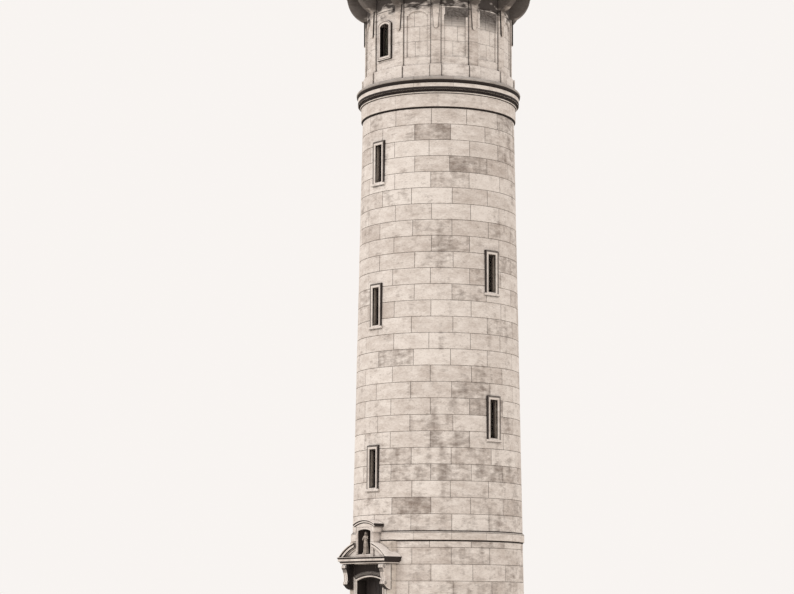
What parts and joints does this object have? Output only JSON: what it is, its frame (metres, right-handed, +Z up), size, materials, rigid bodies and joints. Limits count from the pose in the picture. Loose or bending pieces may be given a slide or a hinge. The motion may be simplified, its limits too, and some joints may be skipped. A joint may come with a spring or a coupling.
{
  "type": "stone lighthouse tower",
  "caption": "Tall round dressed-stone lighthouse with a pedimented doorway, slit stair windows, a pilastered drum, a bracketed gallery and a glazed lantern.",
  "frame": {"origin": "on the tower's axis at ground level, on the underside of the ground floor", "axes": "+Z up along the tower's axis, the doorway faces -Y, +X to the right of someone who looks along +Y at the doorway"},
  "size_m": [5.1998, 5.5508, 24.2],
  "materials": {
    "limestone": "fine dressed ashlar, weathered under the gallery",
    "statue_stone": "carved, weathered",
    "painted_wood": "dark brown oil paint, worn",
    "glass": "thin old window glass",
    "painted_iron": "dark painted iron",
    "wrought_iron": "black forged iron",
    "roof_metal": "grey painted sheet metal"
  },
  "bodies": {
    "tower": {"ground_floor": "limestone", "entrance_steps": "limestone", "threshold": "limestone", "door_plinths": "limestone", "door_lintel": "limestone", "door_jambs": "limestone", "door_head": "limestone", "door_architrave": "limestone", "door_consoles": "limestone", "door_cornice": "limestone", "broken_pediment": "limestone", "niche": "limestone", "niche_cap": "limestone", "string_course": "limestone", "neck_frieze": "limestone", "cornice": "limestone", "pilasters": "limestone", "gallery_brackets": "limestone", "window_surrounds": "limestone", "drum_window_surrounds": "limestone", "watch_room_floor": "limestone", "lantern_floor": "limestone", "gallery_slab": "limestone", "lantern_wall": "limestone", "lantern_coping": "limestone", "lower_wall_front": "limestone", "shaft_lower_front": "limestone", "shaft_upper_front": "limestone", "drum_wall_front": "limestone", "lower_wall_right": "limestone", "shaft_lower_right": "limestone", "shaft_upper_right": "limestone", "drum_wall_right": "limestone", "lower_wall_back": "limestone", "shaft_lower_back": "limestone", "shaft_upper_back": "limestone", "drum_wall_back": "limestone", "lower_wall_left": "limestone", "shaft_lower_left": "limestone", "shaft_upper_left": "limestone", "drum_wall_left": "limestone", "statue": "statue_stone", "window_sashes": "painted_wood", "window_glass": "glass", "lantern_glass": "glass", "railing_posts": "painted_iron", "railing_panels": "painted_iron", "lantern_posts": "painted_iron", "lantern_sashes": "painted_iron", "gallery_door": "painted_iron", "lightning_rod": "painted_iron", "door_pintles": "wrought_iron", "lantern_roof": "roof_metal", "ventilator": "roof_metal"},
    "left_leaf": {"door_leaf_left": "painted_wood"},
    "right_leaf": {"door_leaf_right": "painted_wood"}
  },
  "joints": [
    {"name": "left_leaf_hinge", "type": "hinge", "parent": "tower", "child": "left_leaf", "pos_m": [-0.575, -1.905, 1.55], "axis": [0, 0, 1], "range_deg": [0, 90]},
    {"name": "right_leaf_hinge", "type": "hinge", "parent": "tower", "child": "right_leaf", "pos_m": [0.575, -1.905, 1.55], "axis": [0, 0, -1], "range_deg": [0, 90]}
  ]
}
